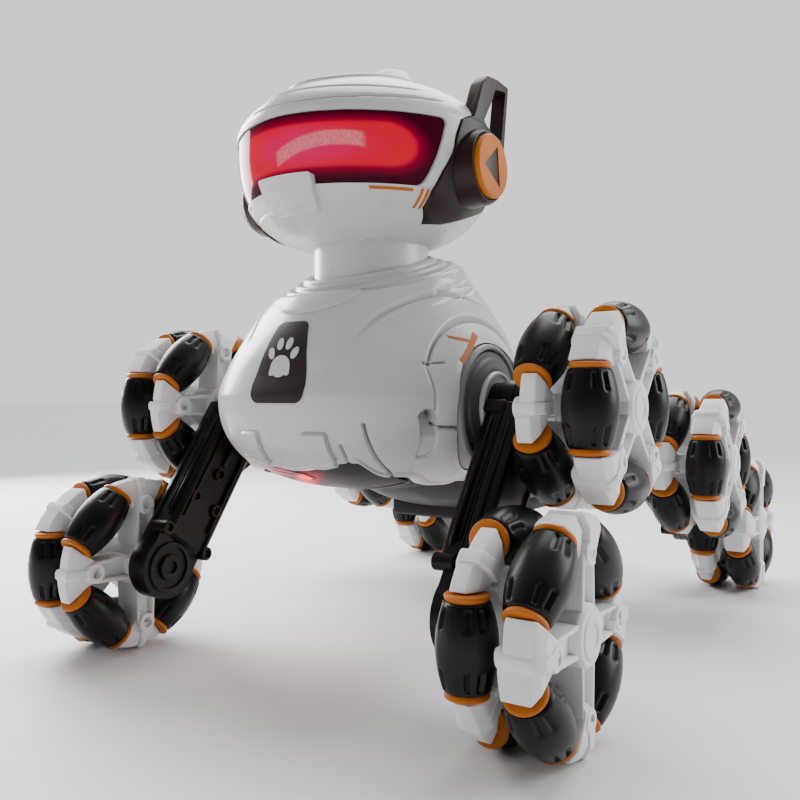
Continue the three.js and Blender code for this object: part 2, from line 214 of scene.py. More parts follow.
def modified(piece, kind, **settings):
    """Adds a modifier, applies it and returns the piece."""
    modifier = piece.modifiers.new(kind, kind)
    for key, value in settings.items():
        setattr(modifier, key, value)
    graph = bpy.context.evaluated_depsgraph_get()
    mesh = bpy.data.meshes.new_from_object(piece.evaluated_get(graph))
    piece.modifiers.clear()
    old = piece.data
    mesh.name = old.name
    piece.data = mesh
    bpy.data.meshes.remove(old)
    return piece


def bevelled(piece, width, segments=2, angle=30):
    return modified(piece, "BEVEL", width=width * MM, segments=segments, limit_method="ANGLE",
                    angle_limit=math.radians(angle), use_clamp_overlap=True)


def combined(piece, other, operation):
    modified(piece, "BOOLEAN", object=other, operation=operation, solver="MANIFOLD")
    bpy.data.objects.remove(other)
    return piece


def joined(first, *others):
    for other in others:
        combined(first, other, "UNION")
    return first


def cut(piece, *tools):
    for tool in tools:
        combined(piece, tool, "DIFFERENCE")
    return piece


def kept_inside(piece, tool):
    return combined(piece, tool, "INTERSECT")


def patch(skin, block, core):
    """The part of a skin that lies inside the block and outside the core."""
    return cut(kept_inside(skin, block), core)


def copied(piece):
    """A second object with its own copy of the mesh."""
    other = piece.copy()
    other.data = piece.data.copy()
    bpy.context.scene.collection.objects.link(other)
    return other


def merged(name, pieces):
    """One mesh from several, each as it stands."""
    points, faces = [], []
    for piece in pieces:
        start = len(points)
        points += [v.co / MM for v in piece.data.vertices]
        faces += [tuple(start + v for v in p.vertices) for p in piece.data.polygons]
        bpy.data.objects.remove(piece)
    return mesh_object(name, points, faces)


def smooth(piece, angle=32):
    piece.data.shade_smooth()
    piece.data.set_sharp_from_angle(angle=math.radians(angle))
    return piece


def finished(piece, look, body, *nodes, slot=None, angle=32):
    """Gives a piece its finish, the body it rides on and the CAD nodes that it stands for."""
    smooth(piece, angle)
    piece.data.materials.clear()
    piece.data.materials.append(look.material)
    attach(piece, body)
    if nodes:
        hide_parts(*nodes)


# ---- materials ----

Look = namedtuple("Look", "material slot")


class Graph:
    """Short calls for a tree of shader nodes."""

    def __init__(self, tree):
        self.nodes, self.links = tree.nodes, tree.links
        self.places = self.add("ShaderNodeTexCoord").outputs

    def add(self, kind, inputs=None, **settings):
        node = self.nodes.new(kind)
        for key, value in settings.items():
            setattr(node, key, value)
        for key, value in (inputs or {}).items():
            self.feed(node.inputs[key], value)
        return node

    def feed(self, socket, value):
        if isinstance(value, bpy.types.NodeSocket):
            self.links.new(value, socket)
        else:
            socket.default_value = value

    def math(self, operation, *values):
        node = self.add("ShaderNodeMath", operation=operation)
        for socket, value in zip(node.inputs, values):
            self.feed(socket, value)
        return node.outputs[0]

    def length(self, first, second):
        squares = [self.math("MULTIPLY", side, side) for side in (first, second)]
        return self.math("SQRT", self.math("ADD", *squares))

    def mapped(self, value, low, high, to_low, to_high, smooth=False):
        kind = "SMOOTHSTEP" if smooth else "LINEAR"
        inputs = {"Value": value, "From Min": low, "From Max": high, "To Min": to_low, "To Max": to_high}
        return self.add("ShaderNodeMapRange", inputs, interpolation_type=kind, clamp=True).outputs[0]

    def inside(self, distance, low, high):
        """1 where a distance in metres is under low millimetres, fading to 0 at high."""
        return self.mapped(distance, low * MM, high * MM, 1, 0, smooth=True)

    def mix(self, share, first, second):
        node = self.add("ShaderNodeMix", {0: share, 6: first, 7: second}, data_type="RGBA")
        return node.outputs[2]


class Finish(Graph):
    """The nodes of one material, placed on the object."""

    def __init__(self, name):
        self.material = bpy.data.materials.new(name)
        self.material.use_nodes = True
        super().__init__(self.material.node_tree)
        self.shader = self.nodes["Principled BSDF"]
        self.place = self.places["Object"]

    def noise(self, scale, detail=3, roughness=0.55, stretch=None):
        place = self.place
        if stretch:
            place = self.add("ShaderNodeMapping", {"Vector": place, "Scale": stretch}).outputs[0]
        inputs = {"Vector": place, "Scale": scale, "Detail": detail, "Roughness": roughness}
        return self.add("ShaderNodeTexNoise", inputs).outputs["Fac"]

    def varied(self, noise, low, high):
        """A number between low and high that follows a noise."""
        return self.mapped(noise, 0.3, 0.7, low, high)

    def bump(self, height, strength, distance):
        inputs = {"Height": height, "Strength": strength, "Distance": distance}
        return self.add("ShaderNodeBump", inputs).outputs[0]

    def set(self, **values):
        for key, value in values.items():
            self.feed(self.shader.inputs[key.replace("_", " ")], value)


def shade(colour, factor):
    return (*[min(1.0, c * factor) for c in colour], 1.0)


def plastic(name, colour, roughness, grain=0.25, mottle=0.06, wear=0.35, coat=0.0, mirror=0.4, crease_shade=0.75,
            slot=None):
    """Moulded plastic: fine grain, uneven gloss, hairline scuffs, lighter rubbed edges and painted shade darkening
    its creases.
    """
    g = Finish(name)
    blotch = g.noise(70, 4)
    scuff = g.mapped(g.noise(420, 5, 0.7, stretch=(1, 0.12, 1)), 0.62, 0.72, 0, 1)
    fold = g.add("ShaderNodeNewGeometry").outputs["Pointiness"]
    edge = g.mapped(fold, 0.53, 0.62, 0, wear)
    rubbed = g.math("MULTIPLY", edge, g.mapped(g.noise(240, 3), 0.4, 0.65, 0.15, 1))
    # Painted shade: the base colour is darkened where the surface folds inwards, in creases and grooves.
    crease = g.mapped(fold, 0.435, 0.494, crease_shade, 0)
    tint = g.mix(g.varied(blotch, 0, 1), shade(colour, 1 - mottle), shade(colour, 1 + mottle))
    tint = g.mix(rubbed, tint, shade(colour, 1.7))
    tint = g.mix(crease, tint, shade(colour, 0.25))
    level = g.varied(blotch, roughness * 0.85, roughness * 1.15)
    level = g.math("ADD", level, g.math("MULTIPLY", scuff, 0.06))
    grains = g.math("MULTIPLY", g.noise(2600, 2), grain)
    height = g.math("ADD", grains, g.math("MULTIPLY", g.noise(160, 2), 0.4))
    g.set(Base_Color=tint, Roughness=level, Normal=g.bump(height, 0.25, 0.00012))
    g.set(Coat_Weight=coat, Coat_Roughness=0.12, Specular_IOR_Level=mirror)
    return Look(g.material, slot or name)


def visor_glass():
    """Dark wine lens, lit from behind: a red bar with a magenta heart and a speckled row of lights."""
    g = Finish("visor_glass")
    split = g.add("ShaderNodeSeparateXYZ", {"Vector": g.place})
    x, z = split.outputs["X"], split.outputs["Z"]

    def past(value, amount):
        return g.math("SUBTRACT", value, amount * MM)

    up = past(z, (VISOR_LOW + VISOR_HIGH) / 2 + 0.8)
    reach = g.length(g.math("MAXIMUM", past(g.math("ABSOLUTE", x), 35.2), 0.0), up)
    bar = g.inside(reach, 6.6, 8.4)
    halo = g.inside(reach, 6, 11.5)
    heart = g.inside(g.length(g.math("MULTIPLY", past(x, 10), 0.32), up), 2.5, 9)
    bend = g.math("MULTIPLY", g.math("POWER", past(x, 21), 2.0), -11.0)
    row = g.math("ABSOLUTE", g.math("SUBTRACT", up, g.math("ADD", bend, 2.0 * MM)))
    ends = g.inside(g.math("ABSOLUTE", past(x, 14)), 14.5, 16.5)
    speckle = g.mapped(g.noise(2100, 2, 0.7), 0.35, 0.62, 0.25, 1)
    lights = g.math("MULTIPLY", g.math("MULTIPLY", ends, g.inside(row, 2, 3)), speckle)
    glow = g.mix(halo, (0.02, 0.0, 0.005, 1), (0.32, 0.0, 0.04, 1))
    glow = g.mix(bar, glow, (0.95, 0.004, 0.03, 1))
    glow = g.mix(g.math("MULTIPLY", heart, bar), glow, (1.0, 0.0, 0.16, 1))
    glow = g.mix(lights, glow, (1.0, 0.42, 0.42, 1))
    # Painted glow: the base colour is a lighter red round the lit bar.
    g.set(Base_Color=g.mix(halo, (0.035, 0.002, 0.009, 1), (0.2, 0.0, 0.015, 1)))
    g.set(Roughness=g.varied(g.noise(90, 3), 0.04, 0.11), Specular_IOR_Level=0.04)
    g.set(Emission_Color=glow, Emission_Strength=0.6)
    return Look(g.material, "visor_tint")


def lamp_red():
    """A red lamp cover, brightest towards the dog's right end."""
    g = Finish("lamp_red")
    x = g.add("ShaderNodeSeparateXYZ", {"Vector": g.place}).outputs["X"]
    lit = g.mapped(x, -3 * MM, -12 * MM, 0.06, 1, smooth=True)
    share = g.math("MULTIPLY", lit, g.varied(g.noise(700, 3), 0.7, 1))
    g.set(Base_Color=(0.12, 0.001, 0.003, 1), Roughness=g.varied(g.noise(300, 3), 0.2, 0.35))
    g.set(Emission_Color=g.mix(share, (0.1, 0.0, 0.004, 1), (1.0, 0.012, 0.02, 1)))
    g.set(Emission_Strength=0.42, Specular_IOR_Level=0.1)
    return Look(g.material, "red_light")


def board_green():
    """A circuit board: green lacquer with faint copper tracks."""
    g = Finish("board_green")
    cells = g.add("ShaderNodeTexVoronoi", {"Vector": g.place, "Scale": 240.0}, distance="CHEBYCHEV")
    track = g.mapped(cells.outputs["Distance"], 0.42, 0.5, 0, 1)
    g.set(Base_Color=g.mix(track, (0.012, 0.1, 0.035, 1), (0.03, 0.2, 0.07, 1)))
    g.set(Roughness=g.varied(g.noise(200, 3), 0.25, 0.45), Normal=g.bump(track, 0.3, 0.00005))
    return Look(g.material, None)


def brushed_steel():
    g = Finish("brushed_steel")
    strokes = g.noise(500, 4, 0.7, stretch=(1, 12, 1))
    g.set(Base_Color=g.mix(strokes, (0.42, 0.42, 0.43, 1), (0.62, 0.62, 0.63, 1)), Metallic=1.0)
    g.set(Roughness=g.varied(strokes, 0.22, 0.42), Normal=g.bump(strokes, 0.2, 0.00004))
    return Look(g.material, None)


VISOR_LOW = 181
VISOR_HIGH = 205.5

WHITE = plastic("white_shell", (0.57, 0.565, 0.57), 0.3, grain=0.12, mottle=0.02, wear=0.2, coat=0.15,
                crease_shade=0.85)
WHEEL_WHITE = plastic("wheel_white", (0.45, 0.45, 0.455), 0.4, grain=0.3, mottle=0.04, wear=0.3, crease_shade=0.9)
DARK_GREY = plastic("dark_plastic", (0.026, 0.026, 0.028), 0.48, grain=0.35, mottle=0.1, mirror=0.15)
DISC_GREY = plastic("grey_plastic", (0.085, 0.085, 0.088), 0.42, grain=0.3, mottle=0.08)
# Painted highlight: the hip discs' rim is a lighter copy of the grey plastic.
RIM_HIGHLIGHT_GREY = plastic("rim_grey_highlight", (0.2, 0.2, 0.205), 0.38, grain=0.3, wear=0.2, slot="grey_plastic")
BROWN = plastic("brown_plastic", (0.021, 0.008, 0.009), 0.4, grain=0.3, mottle=0.12, wear=0.3, mirror=0.25)
BADGE_BROWN = plastic("badge_brown", (0.026, 0.017, 0.02), 0.5, grain=0.3, mottle=0.1, mirror=0.25,
                      slot="brown_plastic")
BLACK = plastic("black_gloss", (0.005, 0.004, 0.0045), 0.36, grain=0.15, mottle=0.2, wear=0.12, mirror=0.22)
ROLLER_BLACK = plastic("roller_black", (0.0045, 0.0045, 0.0047), 0.34, grain=0.4, mottle=0.2, wear=0.12,
                       mirror=0.22)
ORANGE = plastic("orange_plastic", (0.46, 0.125, 0.01), 0.42, grain=0.3, mottle=0.08, wear=0.15, mirror=0.2)
VISOR = visor_glass()
LAMP = lamp_red()
BOARD = board_green()
STEEL = brushed_steel()


# ---- egg-shaped shells ----

class Egg:
    """A sphere stretched to half sizes, with its own roundness in plan, above and below its widest level."""

    def __init__(self, centre, wide, deep, up, down, plan, upper, lower, lean=0.0):
        self.centre = centre
        self.wide, self.deep, self.up, self.down = wide, deep, up, down
        self.plan, self.upper, self.lower, self.lean = plan, upper, lower, lean

    def points(self, turns, climbs, grow=0.0):
        """Points at each turn (0 towards +X, a quarter towards +Y) and climb (-90 to 90 degrees), in radians."""
        level = np.sin(climbs)
        above = level > 0
        exponent = np.where(above, self.upper, self.lower)
        spread = np.sqrt(np.maximum(0, 1 - level ** 2)) ** exponent
        height = np.where(above, self.up + grow, self.down + grow) * power(level, exponent)
        x = (self.wide + grow) * spread * power(np.cos(turns), self.plan)
        y = (self.deep + grow) * spread * power(np.sin(turns), self.plan)
        y = self.centre[0] + y + self.lean * np.maximum(0, height)
        return np.stack([x, y, self.centre[1] + height + 0 * x], -1)

    def climb_at(self, z, grow=0.0):
        """The climb at which the surface reaches a height."""
        height = z - self.centre[1]
        size = np.where(height > 0, self.up + grow, self.down + grow)
        exponent = np.where(height > 0, self.upper, self.lower)
        level = np.clip(np.abs(height) / size, 0, 0.9999) ** (1 / exponent)
        return np.sign(height) * np.arcsin(level)

    def climb_where(self, turns, height_of, grow=0.0):
        """For each turn, the climb at which the surface crosses z = height_of(x, y)."""
        climbs = np.zeros_like(turns)
        for _ in range(40):
            place = self.points(turns, climbs, grow)
            wanted = self.climb_at(height_of(place[:, 0], place[:, 1]), grow)
            climbs += 0.5 * (wanted - climbs)
        return climbs

    def even_climbs(self, low, high, rows):
        """Climbs from low to high for each column, spaced evenly along the surface."""
        table = np.linspace(-math.pi / 2, math.pi / 2, 2001)
        line = self.points(np.full_like(table, -0.9), table)
        steps = np.linalg.norm(np.diff(line, axis=0), axis=1)
        length = np.concatenate([[0], np.cumsum(steps)])
        start, end = np.interp(low, table, length), np.interp(high, table, length)
        share = np.linspace(0, 1, rows)[:, None]
        return np.interp(start + share * (end - start), length, table)


def front_heavy_turns(columns, front):
    """Turns all the way round, with that share of them on the front and the flanks."""
    ahead = round(columns * front)
    reach = 0.6
    return np.concatenate([np.linspace(-math.pi - reach, reach, ahead, endpoint=False),
                           np.linspace(reach, math.pi - reach, columns - ahead, endpoint=False)])


def outward(points):
    """Unit normals of a grid of points whose columns close."""
    along = np.roll(points, -1, 1) - np.roll(points, 1, 1)
    up = np.gradient(points, axis=0)
    normal = np.cross(along, up)
    length = np.linalg.norm(normal, axis=2, keepdims=True)
    return normal / np.maximum(length, 1e-9)


def shell(name, egg, low, high, rows, columns, relief=None, grow=0.0, front=0.8):
    """The egg's skin between two climbs, raised by relief(x, y, z) and closed by a flat fan at each end.

    A climb is in degrees, or a function that gives each turn's climb in radians.
    """
    turns = front_heavy_turns(columns, front)
    low, high = [end(turns) if callable(end) else np.full(columns, math.radians(end)) for end in (low, high)]
    climbs = egg.even_climbs(low, high, rows)
    points = egg.points(np.broadcast_to(turns, climbs.shape), climbs, grow)
    if relief:
        points += outward(points) * relief(points[..., 0], points[..., 1], points[..., 2])[..., None]
    flat = points.reshape(-1, 3)
    ends = [points[0].mean(0), points[-1].mean(0)]
    faces = grid_faces(rows, columns)
    bottom, top = len(flat), len(flat) + 1
    last = (rows - 1) * columns
    for column in range(columns):
        ahead = (column + 1) % columns
        faces.append((bottom, ahead, column))
        faces.append((top, last + column, last + ahead))
    return mesh_object(name, np.vstack([flat, ends]), faces)


def crossing(egg, height_of, grow=0.0):
    """The climbs at which an egg's surface crosses z = height_of(x, y), as shell() takes them."""
    return lambda turns: egg.climb_where(turns, height_of, grow)


CHEST = Egg((FRONT_HIP.y + 3.16, FRONT_HIP.z + 4.52), 61.3, 58.8, 73.8, 38.7, 0.93, 1.37, 0.84, lean=0.18)
BACK = Egg((REAR_HIP.y - 52.8, REAR_HIP.z + 12.46), 53, 84, 36, 35, 0.8, 1.0, 0.9)
HEAD = Egg((NECK.y - 4.1, NECK.z + 51.6), 53.6, 53.7, 26.3, 41.9, 1.1, 1.24, 0.68)


# ---- torso ----

def chest_relief(x, y, z):
    """Grooves, steps and raised pads of the chest, measured from the front hip's axis."""
    side = np.abs(x)
    dy, dz = y - FRONT_HIP.y, z - FRONT_HIP.z
    flank = rise(side, 22, 28)
    radius = np.hypot(dy, dz)
    bearing = np.degrees(np.arctan2(dz, -dy))
    top = rise(bearing, 45, 80)

    cap = 1.3 * (1 - rise(radius, 24.5, 32.6)) * flank
    cap_groove = groove(radius - 33, 0.9 + 0.9 * top, 1.3 + 1.7 * top) * between(bearing, 28, 150, 4)
    raised = cap + cap_groove * flank

    arc_radius = np.hypot(dy + 4, dz + 4)
    arc_bearing = np.degrees(np.arctan2(dz + 4, -(dy + 4)))
    arc_top = rise(arc_bearing, 40, 85)
    arc_span = between(arc_bearing, 42, 140, 8)
    shoulder = groove(arc_radius - 46.5, 0.9 + 0.9 * arc_top, 0.8 + 1.8 * arc_top)
    shoulder += 0.8 * arc_top * rise(arc_radius, 38, 45.6) * (1 - rise(arc_radius, 45.6, 46.4))
    raised += shoulder * arc_span * rise(side, 18, 26)

    raised += groove(dz - 15.8, 0.8, 1.0) * between(dy, -30.5, -24, 0.6) * flank
    raised += groove(dz + 6.7, 0.95, 1.7) * between(dy, -29.3, -20, 0.6) * flank
    front_edge = between(dz, -6.5, 15.8, 1)
    raised += groove(dy + 30.4, 0.8, 0.6) * front_edge * flank

    share = np.clip((-3.2 - dz) / 12.4, 0, 1)
    off_y = dy + 32.4 - 4.2 * share
    off_z = dz + 3.2 + 12.4 * share
    scoop = 1 - rise(np.hypot(off_y, off_z), 2.1, 2.7)
    raised -= scoop * (7.6 - 6.9 * np.clip(share * 1.7, 0, 1)) * flank

    front = 1 - rise(dy, -28, -24)
    raised += groove(side - 33, 0.9, 1.7) * between(dz, -24.5, -5.9, 0.8) * front
    raised += groove(side - 23.6, 0.85, 1.1) * between(dz, -19.9, -13.6, 1.5) * front
    fins = between(side, 10.9, 19.3, 0.5) * between(dz, -20.5, -9.4, 0.6)
    raised += 1.5 * fins * front

    sternum = -1.0 * between(z, 96, 112, 10) + 2.2 * rise(z, 112, 131) * (1 - rise(z, 136, 153))
    raised += sternum * np.exp(-(x / 21) ** 2) * front

    bib = np.hypot(x / 20, (z - 145) / 10.3)
    raised += 0.9 * (1 - rise(bib, 0.93, 1.0)) * front

    edge = z - parting_line(x, y)
    raised += 0.7 * (1 - rise(edge, 1.0, 1.9)) * rise(dy, -60, -50) * (1 - rise(dy, 0, 8))
    below = collar_plane(x, y) - z
    raised += groove(below - 4.6, 0.9, 0.8) * rise(side, 20, 32) * rise(dy, -26, -8)
    raised += groove(below - 9.4, 1.0, 0.9) * rise(side, 24, 36) * rise(dy, -22, -2)

    lip = z - (148.6 + 0.18 * (dy - 6.6))
    raised += groove(lip, 1.0, 0.8) * between(dy, -8, 22, 2) * rise(side, 33, 37)
    return raised


def parting_line(x, y):
    """Height of the wavy edge between the white chest and the dark belly pan."""
    side = np.abs(x)
    dy = y - FRONT_HIP.y
    return 78.5 + 3.8 * rise(side, 0, 25) - 5.6 * rise(side, 26.5, 31) - 4.0 * rise(dy, -26, -10)


def collar_plane(x, y):
    return COLLAR_HEIGHT + math.tan(COLLAR_TILT) * (y - NECK.y)


def hip_aim(end, hand):
    """Carries a shape turned about X to a hip, with +X outwards."""
    place = joint_place(f"{end}_{hand}_arm_swing")
    return shift(0, place.y, place.z) @ turn(0 if HANDS[hand] > 0 else 180, "Z")


def hip_cutters():
    """Bores for the two front hip discs."""
    radius = HIP_DISC_RADIUS + 0.5
    line = [(44.8, radius), (74.8, radius)]
    return [placed(lathe("cutter", line, 96), hip_aim("front", hand)) for hand in HANDS]


def build_chest():
    low = crossing(CHEST, lambda x, y: parting_line(x, y) + PARTING_GAP)
    piece = shell("body_chest", CHEST, low, crossing(CHEST, collar_plane), 250, 680, chest_relief)
    finished(cut(piece, *hip_cutters()), WHITE, "torso", "body_shell", angle=40)


def pan_relief(x, y, z):
    """Recessed edge, round feet and cooling slots of the belly pan."""
    side = np.abs(x)
    dy, dz = y - FRONT_HIP.y, z - FRONT_HIP.z
    boss = np.hypot(side - 37.6, dy + 23.3)
    raised = 1.2 * (1 - rise(boss, 5.2, 6.0)) - 0.6 * (1 - rise(boss, 3.2, 3.8))
    slots = between(side, 12, 30, 0.4) * groove((dy + 8) % 6 - 3, 1.2, 1.0)
    raised += slots * between(dy, -20, 10, 0.5)
    return raised


def light_band(grow):
    """The chest light's slanted window, seen from the front."""
    low, high = node_box("chest_light_lens")
    left, right = low.x + 0.3 - grow, high.x - 0.3 + grow
    outline = [(left, high.z - 0.3 + grow), (left + 1.5, high.z - 2.9 - grow),
               (left + 12, low.z + 1.2 - grow), (right - 3, low.z + 0.3 - grow), (right, low.z + 0.9),
               (right - 2, low.z + 2.6 + grow), (left + 13, high.z - 1.0 + grow)]
    return prism("window", outline, -180, -105, "y")


def build_belly():
    high = crossing(CHEST, parting_line, -1.0)
    piece = shell("body_belly_pan", CHEST, -89, high, 90, 420, pan_relief, grow=-1.0)
    finished(cut(piece, *hip_cutters(), light_band(0.25)), DARK_GREY, "torso", "belly_pan")


def build_chest_light():
    low, high = node_box("chest_light_lens")
    slit = prism("slit", [(low.x + 7, high.z - 2.2), (low.x + 19, low.z + 1.9), (low.x + 19, low.z + 2.4),
                          (low.x + 7, high.z - 1.7)], -180, -110, "y")
    lens = patch(shell("chest_light", CHEST, -70, 10, 60, 300, grow=-0.8), light_band(0), slit)
    finished(lens, LAMP, "torso", "chest_light_lens")


def back_relief(x, y, z):
    """A raised spine, side panel grooves and rear vents."""
    side = np.abs(x)
    dy, dz = y - REAR_HIP.y, z - REAR_HIP.z
    upper = rise(dz, 8, 14)
    spine = 1.1 * (1 - rise(side, 15.2, 16.2)) * upper * (1 - rise(dy, 18, 19.2))
    seam = groove(side - 17.4, 0.9, 1.2) * upper * (1 - rise(dy, 19, 21))
    vents = groove((dy + 60) % 7 - 3.5, 1.5, 1.8) * upper
    vents *= between(side, 22, 34, 0.5) * between(dy, -46, -11, 0.4)
    rear = groove((dz + 40) % 6 - 3, 1.3, 1.6) * (1 - rise(side, 16, 17))
    rear *= rise(dy, 24, 26) * between(dz, -8, 9.5, 0.4)
    return spine + seam + vents + rear


def back_parting(x, y):
    """Height of the level edge between the white back and its dark pan."""
    return REAR_HIP.z - 3.4 + 0 * x


def block_round(name, low, high, margin, floor, ceiling):
    """An upright block round a box, that much larger in plan."""
    left, right, near, far = low.x - margin, high.x + margin, low.y - margin, high.y + margin
    return prism(name, [(left, near), (right, near), (right, far), (left, far)], floor, ceiling, "z")


def build_back():
    """The white back, and the dark pan under it with its battery housing."""
    low = crossing(BACK, lambda x, y: back_parting(x, y) + PARTING_GAP)
    piece = shell("body_back", BACK, low, 88.5, 190, 520, back_relief, front=0.5)
    finished(piece, WHITE, "torso", "body_shell", angle=40)
    pan = shell("body_back_pan", BACK, -89, crossing(BACK, back_parting, -1.0), 60, 300, grow=-1.0, front=0.5)
    low, high = node_box("battery_door")
    housing = block_round("housing", low, high, 3.6, low.z + 0.7, high.z + 15)
    joined(pan, bevelled(housing, 1.4, 3))
    knob_low, knob_high = node_box("power_switch")
    cut(pan, block_round("hole", low, high, 0.35, 40, high.z + 4),
        block_round("slot", knob_low, knob_high, 1.5, 40, knob_high.z + 3))
    finished(pan, DARK_GREY, "torso", "belly_pan")


def build_haunches():
    """The round barrel that carries the rear arms, closed at each end by a stepped cap."""
    half = 57.5
    left = [(-46, 0.5), (-46, 23.9), (-half, 24.0), (-half + 0.5, 24.2), (-half + 0.5, 25), (-half + 4, 26.6),
            (-half + 9, 27), (-20, 27)]
    mirrored = [(-x, r) for x, r in reversed(left)]
    piece = lathe("body_haunches", softened(left + mirrored, 0.8), 128)
    for x in (-38, 38):
        cut(piece, lathe("ring", [(x - 0.6, 25.6), (x - 0.6, 28), (x + 0.6, 28), (x + 0.6, 25.6)], 128))
    finished(placed(piece, shift(0, REAR_HIP.y, REAR_HIP.z)), WHITE, "torso", "body_shell")


def upright(z):
    """Carries a shape turned about X to the neck's axis, with +X upwards from height z."""
    return shift(0, NECK.y, z), turn(-90, "Y")


def build_collar():
    """Stepped rings round the foot of the neck, tilted down towards the chest."""
    bore = NECK_RADIUS + 0.6
    profile = [(-12, bore), (4.6, bore), (5.2, bore + 0.6), (5.2, 26.4), (4.4, 27.6), (2.9, 27.8), (3.3, 29.4),
               (3.1, 31), (1.3, 31.4), (1.7, 33.2), (1.4, 35), (-0.6, 35.6), (-0.4, 37.4), (-4, 39), (-12, 39)]
    piece = lathe("body_collar", softened(profile, 0.9, 5), 160)
    place, stand = upright(COLLAR_HEIGHT)
    placed(piece, place @ Matrix.Rotation(COLLAR_TILT, 4, "X") @ stand)
    place, stand = upright(0)
    cut(piece, placed(lathe("hole", [(110, bore), (200, bore)], 128), place @ stand))
    finished(piece, WHITE, "torso", "body_shell", angle=50)


def paw_shapes():
    """Outlines of a paw print about its middle: four oval toes and a pad with three lobes below."""
    shapes = []
    for across, up, lean in ((-5.4, 1.6, 24), (-2.1, 5.0, 8), (2.1, 5.0, -8), (5.4, 1.6, -24)):
        x, y = (circle(1, 24) * (1.45, 2.25)).T
        c, s = math.cos(math.radians(lean)), math.sin(math.radians(lean))
        shapes.append(np.stack([x * c - y * s + across, x * s + y * c + up], 1))
    angles = np.radians(np.linspace(-90, 270, 73)[:-1])
    above, below = np.clip(np.sin(angles), 0, 1), np.clip(-np.sin(angles), 0, 1)
    lobes = 3.2 * below ** 0.4 + 0.7 * np.abs(np.sin(angles * 3.0)) * (below > 0)
    wide = (4.5 + 0.7 * below ** 0.5) * np.cos(angles)
    return shapes + [np.stack([wide - 0.3, 4.1 * above - lobes - 3.3], 1)]


def build_badge():
    """A dark plate on the chest with a raised paw print."""
    def layer(name, low, high, rows, columns, raised):
        return shell(name, CHEST, low, high, rows, columns, lambda x, y, z: chest_relief(x, y, z) + raised)

    low, high = node_box("chest_badge")
    half, height = (high.x - low.x) / 2, high.z - low.z
    right = [(half - 1.2, 0), (half + 0.2, 0.1), (half + 0.4, 0.22), (half - 1.1, 0.47), (half - 3.2, 0.75),
             (half - 5.5, 1)]
    outline = [((low.x + high.x) / 2 + side * across, low.z + up * height)
               for side, edge in ((1, right), (-1, right[::-1])) for across, up in edge]
    block = bevelled(prism("block", outline, -180, -108, "y"), 2.2, 5, 60)
    plate = patch(layer("chest_badge_plate", -30, 60, 150, 520, 0.5), block,
                  layer("core", -32, 62, 150, 520, -0.8))
    finished(plate, BADGE_BROWN, "torso", "chest_badge", angle=30)
    middle = low.z + 0.55 * height
    prints = merged("prints", [prism("print", shape + (0, middle), -180, -108, "y") for shape in paw_shapes()])
    paw = patch(layer("chest_badge_paw", -30, 60, 180, 640, 0.75), prints, layer("core", -32, 62, 150, 520, 0.1))
    finished(paw, WHITE, "torso", angle=30)


def build_hip_discs():
    """Each disc's rings from the outside in: a grey rim painted lighter than the face as a highlight, a dished
    face, a bright trim and a black core.
    """
    r = HIP_DISC_RADIUS
    rings = (
        ("ring", RIM_HIGHLIGHT_GREY, 0.4, [(46, r), (57.2, r), (58.0, r - 0.8), (58.2, 21.6), (57.2, 21.2), (50, 21.0)]),
        ("face", DISC_GREY, 0.4, [(48, 13.4), (48, 20.8), (57.0, 20.8), (57.6, 20.2), (57.8, 18.4), (58.6, 17.8),
                                  (59.0, 16.0), (59.6, 14.2), (59.6, 13.4)]),
        ("trim", WHITE, 0.3, [(50, 11.6), (50, 13.2), (60.4, 13.2), (61.3, 12.8), (61.3, 12.0), (60.4, 11.6)]),
        ("core", BLACK, 0.3, [(48, 9.4), (48, 11.4), (59.4, 11.4), (59.4, 9.4)]))
    for end, hand, side in LIMBS:
        for name, look, soft, line in rings:
            piece = lathe(f"hip_{name}_{end}_{hand}", softened(line, soft), 96)
            finished(placed(piece, hip_aim(end, hand)), look, "torso", f"hip_disc_{end}_{hand}")


def build_marks():
    """The two orange bars on each front hip cap."""
    bars = [[(-4.6, 26.3), (-5.9, 27.9), (-19.2, 16.9), (-18.1, 15.2)],
            [(-18.0, 26.0), (-17.7, 24.8), (-9.6, 23.3), (-10.6, 24.7)]]
    for hand, side in HANDS.items():
        blocks = [prism("bar", np.add(bar, (FRONT_HIP.y, FRONT_HIP.z)), side * 40, side * 70) for bar in bars]
        mark = shell(f"hip_mark_{hand}", CHEST, -5, 60, 160, 500, lambda x, y, z: chest_relief(x, y, z) + 0.12)
        core = shell("core", CHEST, -6, 62, 80, 260, grow=-1.0)
        finished(patch(mark, joined(*blocks), core), ORANGE, "torso")


# ---- head ----

def head_relief(x, y, z):
    """Brow lines, raised crown panel, rear vents and a chin crease."""
    dy, dz = y - HEAD.centre[0], z - HEAD.centre[1]
    side = np.abs(x)
    front = 1 - rise(dy, -24, -14)
    brow = groove(dz - 3.6 - 0.0009 * x ** 2, 0.8, 0.95) * front
    crown = np.hypot(x / 27, (dy - 4) / 43)
    panel = 0.9 * (1 - rise(crown, 0.97, 1.0)) * rise(dz, 8, 12)
    second = groove(dz - 9.5, 0.7, 0.5) * front * (1 - rise(side, 38, 44))
    vents = groove((dz + 8) % 5.5 - 2.75, 1.1, 1.4) * (1 - rise(side, 14, 15))
    vents *= rise(dy, 30, 32) * between(dz, -8, 8.4, 0.4)
    chin = groove(dz + 31, 0.9, 0.5) * between(x, -40, -16, 2) * (1 - rise(dy, -8, -2))
    return brow + panel + second + vents + chin


def ear_pockets():
    """The room that the head leaves for each ear pod."""
    middle = np.mean(EAR_PLATE, 0)
    return [prism("pocket", (EAR_PLATE - middle) * 1.02 + middle, side * 28, side * 80) for side in (1, -1)]


